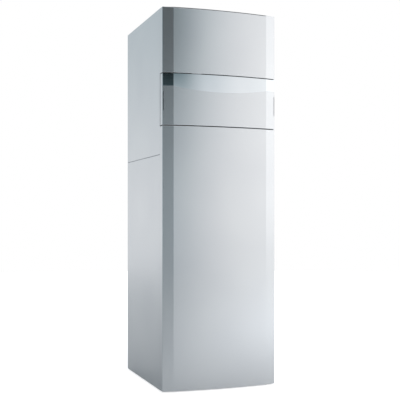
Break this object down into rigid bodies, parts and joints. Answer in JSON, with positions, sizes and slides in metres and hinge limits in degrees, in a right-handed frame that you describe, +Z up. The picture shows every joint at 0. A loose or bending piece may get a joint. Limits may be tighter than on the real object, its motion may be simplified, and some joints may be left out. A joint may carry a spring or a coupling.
{
  "type": "floor standing gas boiler",
  "caption": "Free-standing gas boiler tower with a bowed silver front, a hinged control flap, pull-off front panels and a hot water cylinder inside.",
  "frame": {"origin": "on the floor, under the middle of the bounding box", "axes": "+Z up, the front with its control flap faces -Y, +X to the right when facing the rear from the front"},
  "size_m": [0.599, 0.693, 1.905],
  "materials": {
    "casing_paint": "satin silver lacquer",
    "inner_sheet": "galvanised sheet",
    "flap_paint": "satin silver lacquer on plastic",
    "band_metal": "polished",
    "grip_plastic": "matte",
    "foot_plastic": "matte",
    "screw_steel": "zinc plated",
    "catch_plastic": "matte",
    "bracket_steel": "zinc plated",
    "housing_plastic": "matte",
    "board": "solder mask green",
    "fascia_plastic": "light grey, fine grain",
    "display_glass": "gloss",
    "key_plastic": "satin",
    "switch_plastic": "gloss",
    "gauge_plastic": "gloss",
    "needle_paint": "matte red",
    "tank_steel": "stainless",
    "jacket_foam": "fleece jacket with a woven cover",
    "anode_metal": "raw magnesium alloy",
    "brass": "satin",
    "lever_plastic": "red",
    "exchanger_metal": "cast",
    "door_metal": "cast",
    "burner_steel": "woven steel",
    "fan_plastic": "die cast",
    "motor_black": "black coated",
    "wheel_plastic": "matte",
    "valve_metal": "die cast",
    "flue_plastic": "flue grade plastic",
    "collar_metal": "white",
    "trap_plastic": "matte",
    "pump_iron": "dark coating",
    "plates_steel": "stainless",
    "vessel_paint": "red enamel",
    "knob_plastic": "red",
    "pipe_steel": "stainless",
    "pipe_copper": "copper",
    "gas_steel": "yellow",
    "grommet_rubber": "black"
  },
  "bodies": {
    "casing": {"base_frame": "inner_sheet", "casing_screws": "screw_steel", "frame_uprights": "inner_sheet", "carrier_shelf": "inner_sheet", "rear_panel": "inner_sheet", "left_side_panel_lower": "casing_paint", "left_side_panel_upper": "casing_paint", "right_side_panel_lower": "casing_paint", "right_side_panel_upper": "casing_paint", "top_cover": "casing_paint", "panel_catches": "catch_plastic", "flap_hinges": "bracket_steel", "control_box": "housing_plastic", "circuit_board": "board", "control_fascia": "fascia_plastic", "display_panel": "display_glass", "gauge_body": "gauge_plastic", "cylinder_tank": "tank_steel", "cylinder_jacket": "jacket_foam", "anode_rod": "anode_metal", "drain_valve": "brass", "heat_exchanger": "exchanger_metal", "burner_door": "door_metal", "burner_tube": "burner_steel", "fan_housing": "fan_plastic", "fan_motor": "motor_black", "gas_valve": "valve_metal", "flue_pipe": "flue_plastic", "air_collar": "collar_metal", "condensate_trap": "trap_plastic", "heating_pump": "pump_iron", "charge_pump": "pump_iron", "diverter_valve": "brass", "plate_heat_exchanger": "plates_steel", "expansion_vessel": "vessel_paint", "relief_valve": "brass", "heating_pipes": "pipe_steel", "water_pipes": "pipe_copper", "gas_pipe": "gas_steel", "pipe_grommets": "grommet_rubber"},
    "flap": {"control_flap": "flap_paint", "flap_trim_band": "band_metal", "flap_grips": "grip_plastic"},
    "upper_front": {"upper_front_panel": "casing_paint"},
    "lower_front": {"lower_front_panel": "casing_paint"},
    "front_left_foot": {"foot_front_left": "foot_plastic"},
    "front_right_foot": {"foot_front_right": "foot_plastic"},
    "rear_left_foot": {"foot_rear_left": "foot_plastic"},
    "rear_right_foot": {"foot_rear_right": "foot_plastic"},
    "back_key": {"key_back": "key_plastic"},
    "minus_key": {"key_minus": "key_plastic"},
    "plus_key": {"key_plus": "key_plastic"},
    "confirm_key": {"key_confirm": "key_plastic"},
    "rocker": {"power_switch": "switch_plastic"},
    "needle": {"gauge_needle": "needle_paint"},
    "fan_rotor": {"fan_impeller": "wheel_plastic"},
    "heating_rotor": {"heating_pump_wheel": "wheel_plastic"},
    "charge_rotor": {"charge_pump_wheel": "wheel_plastic"},
    "drain_lever": {"drain_valve_handle": "lever_plastic"},
    "relief_knob": {"relief_valve_knob": "knob_plastic"}
  },
  "joints": [
    {"name": "flap_hinge", "type": "hinge", "parent": "casing", "child": "flap", "pos_m": [0.2915, -0.3105, 1.4305], "axis": [0, 0, 1], "range_deg": [0, 110]},
    {"name": "upper_panel_pull", "type": "slide", "parent": "casing", "child": "upper_front", "axis": [0, -1, 0], "range_m": [0, 0.25]},
    {"name": "lower_panel_pull", "type": "slide", "parent": "casing", "child": "lower_front", "axis": [0, -1, 0], "range_m": [0, 0.25]},
    {"name": "front_left_foot_screw", "type": "slide", "parent": "casing", "child": "front_left_foot", "axis": [0, 0, -1], "range_m": [0, 0.02]},
    {"name": "front_right_foot_screw", "type": "slide", "parent": "casing", "child": "front_right_foot", "axis": [0, 0, -1], "range_m": [0, 0.02]},
    {"name": "rear_left_foot_screw", "type": "slide", "parent": "casing", "child": "rear_left_foot", "axis": [0, 0, -1], "range_m": [0, 0.02]},
    {"name": "rear_right_foot_screw", "type": "slide", "parent": "casing", "child": "rear_right_foot", "axis": [0, 0, -1], "range_m": [0, 0.02]},
    {"name": "back_key_press", "type": "slide", "parent": "casing", "child": "back_key", "axis": [0, 1, 0], "range_m": [0, 0.0015], "stiffness_N_per_m": 500},
    {"name": "minus_key_press", "type": "slide", "parent": "casing", "child": "minus_key", "axis": [0, 1, 0], "range_m": [0, 0.0015], "stiffness_N_per_m": 500},
    {"name": "plus_key_press", "type": "slide", "parent": "casing", "child": "plus_key", "axis": [0, 1, 0], "range_m": [0, 0.0015], "stiffness_N_per_m": 500},
    {"name": "confirm_key_press", "type": "slide", "parent": "casing", "child": "confirm_key", "axis": [0, 1, 0], "range_m": [0, 0.0015], "stiffness_N_per_m": 500},
    {"name": "rocker_tip", "type": "hinge", "parent": "casing", "child": "rocker", "pos_m": [0.175, -0.2685, 1.44], "axis": [1, 0, 0], "range_deg": [-14, 0]},
    {"name": "needle_turn", "type": "hinge", "parent": "casing", "child": "needle", "pos_m": [-0.175, -0.271, 1.44], "axis": [0, 1, 0], "range_deg": [-135, 135], "stiffness_Nm_per_rad": 0.0005},
    {"name": "fan_spin", "type": "hinge", "parent": "casing", "child": "fan_rotor", "pos_m": [0, -0.215, 1.64], "axis": [1, 0, 0], "continuous": true},
    {"name": "heating_pump_spin", "type": "hinge", "parent": "casing", "child": "heating_rotor", "pos_m": [0, -0.15, 1.265], "axis": [0, 1, 0], "continuous": true},
    {"name": "charge_pump_spin", "type": "hinge", "parent": "casing", "child": "charge_rotor", "pos_m": [0.125, -0.15, 1.265], "axis": [0, 1, 0], "continuous": true},
    {"name": "drain_lever_turn", "type": "hinge", "parent": "casing", "child": "drain_lever", "pos_m": [0, -0.263, 0.15], "axis": [0, 1, 0], "range_deg": [0, 90]},
    {"name": "relief_knob_turn", "type": "hinge", "parent": "casing", "child": "relief_knob", "pos_m": [0.06, -0.06, 1.295], "axis": [0, 0, 1], "range_deg": [0, 90]}
  ]
}
